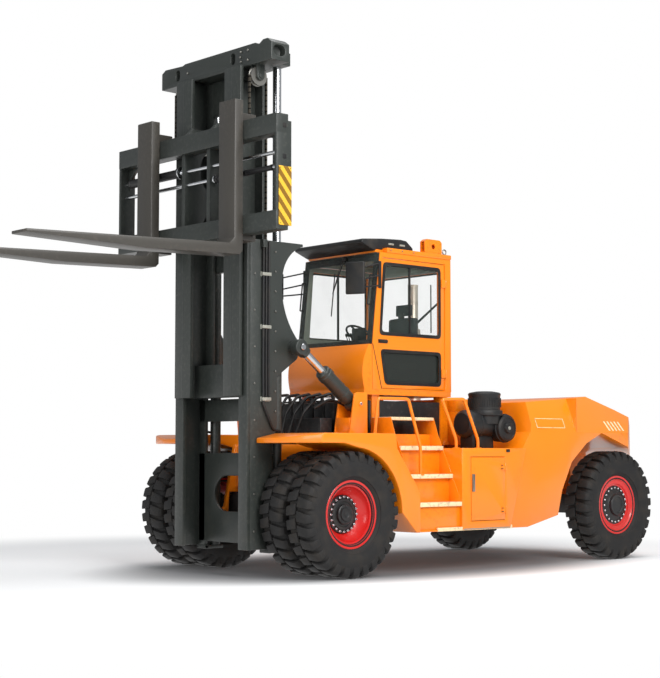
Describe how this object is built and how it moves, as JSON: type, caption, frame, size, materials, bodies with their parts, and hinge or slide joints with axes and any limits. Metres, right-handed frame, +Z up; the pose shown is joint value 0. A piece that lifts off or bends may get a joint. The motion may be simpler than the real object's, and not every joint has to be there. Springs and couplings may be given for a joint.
{
  "type": "heavy diesel counterbalance forklift",
  "caption": "Heavy counterbalance forklift with twin front tyres, a raised two-stage mast, sliding forks on a wide carriage, a closed cab and a steered rear axle.",
  "frame": {"origin": "on the ground, at the middle of the overall length and width", "axes": "+X forward towards the fork tips, +Y to the truck's left, +Z up"},
  "size_m": [9.033, 3, 5.843],
  "materials": {
    "orange_paint": "gloss paint",
    "dark_grey_paint": "satin paint",
    "black_paint": "satin paint",
    "red_paint": "gloss paint",
    "pale_paint": "gloss paint with pale treads",
    "hazard": "yellow and amber stripes",
    "tyre": "moulded rubber",
    "chrome": "polished",
    "glass": "tinted",
    "black_plastic": "moulded"
  },
  "bodies": {
    "chassis": {"chassis_frame": "orange_paint", "drive_axle": "black_paint", "left_fender": "orange_paint", "right_fender": "orange_paint", "left_side_box": "orange_paint", "right_side_box": "orange_paint", "left_steps": "pale_paint", "right_steps": "pale_paint", "handrails": "orange_paint", "engine_block": "black_paint", "engine_bay": "orange_paint", "counterweight": "orange_paint", "radiator_grille": "black_paint", "air_cleaner": "black_plastic", "exhaust_stack": "chrome", "cab_floor": "orange_paint", "cab_shell": "orange_paint", "cab_roof": "orange_paint", "roof_visor": "black_plastic", "cab_glass": "glass", "driver_seat": "black_plastic", "steering_column": "black_plastic", "mirrors": "black_plastic", "tilt_brackets": "orange_paint", "steer_axle": "black_paint"},
    "side_box_door": {"side_box_door": "orange_paint"},
    "engine_hood": {"engine_hood": "orange_paint"},
    "left_cab_door": {"left_cab_door": "orange_paint", "left_door_glass": "glass"},
    "right_cab_door": {"right_cab_door": "orange_paint", "right_door_glass": "glass"},
    "front_left_wheels": {"front_left_tyres": "tyre", "front_left_rims": "red_paint"},
    "front_right_wheels": {"front_right_tyres": "tyre", "front_right_rims": "red_paint"},
    "left_knuckle": {"left_knuckle": "black_paint"},
    "right_knuckle": {"right_knuckle": "black_paint"},
    "rear_left_wheel": {"rear_left_tyre": "tyre", "rear_left_rim": "red_paint"},
    "rear_right_wheel": {"rear_right_tyre": "tyre", "rear_right_rim": "red_paint"},
    "left_tilt_barrel": {"left_tilt_barrel": "dark_grey_paint"},
    "right_tilt_barrel": {"right_tilt_barrel": "dark_grey_paint"},
    "left_tilt_rod": {"left_tilt_rod": "chrome"},
    "right_tilt_rod": {"right_tilt_rod": "chrome"},
    "outer_mast": {"outer_mast": "dark_grey_paint", "lift_barrels": "black_paint", "mast_chains": "black_paint"},
    "inner_mast": {"inner_mast": "dark_grey_paint", "lift_rods": "chrome", "carriage_chains": "black_paint"},
    "carriage": {"carriage": "dark_grey_paint", "positioners": "chrome", "hazard_plates": "hazard"},
    "left_fork": {"left_fork": "dark_grey_paint"},
    "right_fork": {"right_fork": "dark_grey_paint"}
  },
  "joints": [
    {"name": "mast_tilt", "type": "hinge", "parent": "chassis", "child": "outer_mast", "pos_m": [1.177, 0, 0.62], "axis": [0, 1, 0], "range_deg": [-10, 6]},
    {"name": "mast_lift", "type": "slide", "parent": "outer_mast", "child": "inner_mast", "axis": [0, 0, 1], "range_m": [-1.66, 0], "deforming": ["mast_chains"]},
    {"name": "carriage_lift", "type": "slide", "parent": "inner_mast", "child": "carriage", "axis": [0, 0, 1], "range_m": [-1.66, 0], "deforming": ["carriage_chains"]},
    {"name": "left_fork_slide", "type": "slide", "parent": "carriage", "child": "left_fork", "axis": [0, 1, 0], "range_m": [-0.38, 0.5]},
    {"name": "right_fork_slide", "type": "slide", "parent": "carriage", "child": "right_fork", "axis": [0, -1, 0], "range_m": [-0.38, 0.5]},
    {"name": "left_tilt_barrel_pivot", "type": "hinge", "parent": "chassis", "child": "left_tilt_barrel", "pos_m": [0.167, 0.762, 1.9], "axis": [0, 1, 0], "range_deg": [-10.4, 6.24]},
    {"name": "left_tilt_rod_slide", "type": "slide", "parent": "left_tilt_barrel", "child": "left_tilt_rod", "axis": [0.7952, 0, 0.6063], "range_m": [-0.28798, 0.17279]},
    {"name": "front_left_wheel_spin", "type": "hinge", "parent": "chassis", "child": "front_left_wheels", "pos_m": [0.817, 1.09, 0.685], "axis": [0, 1, 0], "continuous": true},
    {"name": "left_steer", "type": "hinge", "parent": "chassis", "child": "left_knuckle", "pos_m": [-3.833, 1, 0.685], "axis": [0, 0, 1], "range_deg": [-50, 50]},
    {"name": "rear_left_wheel_spin", "type": "hinge", "parent": "left_knuckle", "child": "rear_left_wheel", "pos_m": [-3.833, 1.272, 0.685], "axis": [0, 1, 0], "continuous": true},
    {"name": "left_door_swing", "type": "hinge", "parent": "chassis", "child": "left_cab_door", "pos_m": [-1.473, 0.6703, 2.8], "axis": [0, 0, 1], "range_deg": [0, 85]},
    {"name": "right_tilt_barrel_pivot", "type": "hinge", "parent": "chassis", "child": "right_tilt_barrel", "pos_m": [0.167, -0.762, 1.9], "axis": [0, 1, 0], "range_deg": [-10.4, 6.24]},
    {"name": "right_tilt_rod_slide", "type": "slide", "parent": "right_tilt_barrel", "child": "right_tilt_rod", "axis": [0.7952, 0, 0.6063], "range_m": [-0.28798, 0.17279]},
    {"name": "front_right_wheel_spin", "type": "hinge", "parent": "chassis", "child": "front_right_wheels", "pos_m": [0.817, -1.09, 0.685], "axis": [0, 1, 0], "continuous": true},
    {"name": "right_steer", "type": "hinge", "parent": "chassis", "child": "right_knuckle", "pos_m": [-3.833, -1, 0.685], "axis": [0, 0, 1], "range_deg": [-50, 50]},
    {"name": "rear_right_wheel_spin", "type": "hinge", "parent": "right_knuckle", "child": "rear_right_wheel", "pos_m": [-3.833, -1.272, 0.685], "axis": [0, 1, 0], "continuous": true},
    {"name": "right_door_swing", "type": "hinge", "parent": "chassis", "child": "right_cab_door", "pos_m": [-1.473, -0.6703, 2.8], "axis": [0, 0, -1], "range_deg": [0, 85]},
    {"name": "side_box_door_swing", "type": "hinge", "parent": "chassis", "child": "side_box_door", "pos_m": [-1.62, 1.4853, 0.93], "axis": [0, 0, 1], "range_deg": [0, 100]},
    {"name": "engine_hood_swing", "type": "hinge", "parent": "chassis", "child": "engine_hood", "pos_m": [-2.168, 0, 2], "axis": [0, -1, 0], "range_deg": [0, 60]}
  ],
  "couplings": [
    {"joint": "carriage_lift", "follows": "mast_lift", "ratio": 1},
    {"joint": "right_steer", "follows": "left_steer", "ratio": 1},
    {"joint": "left_tilt_barrel_pivot", "follows": "mast_tilt", "ratio": 1.04},
    {"joint": "left_tilt_rod_slide", "follows": "mast_tilt", "m_per_rad": 1.65},
    {"joint": "right_tilt_barrel_pivot", "follows": "mast_tilt", "ratio": 1.04},
    {"joint": "right_tilt_rod_slide", "follows": "mast_tilt", "m_per_rad": 1.65}
  ]
}
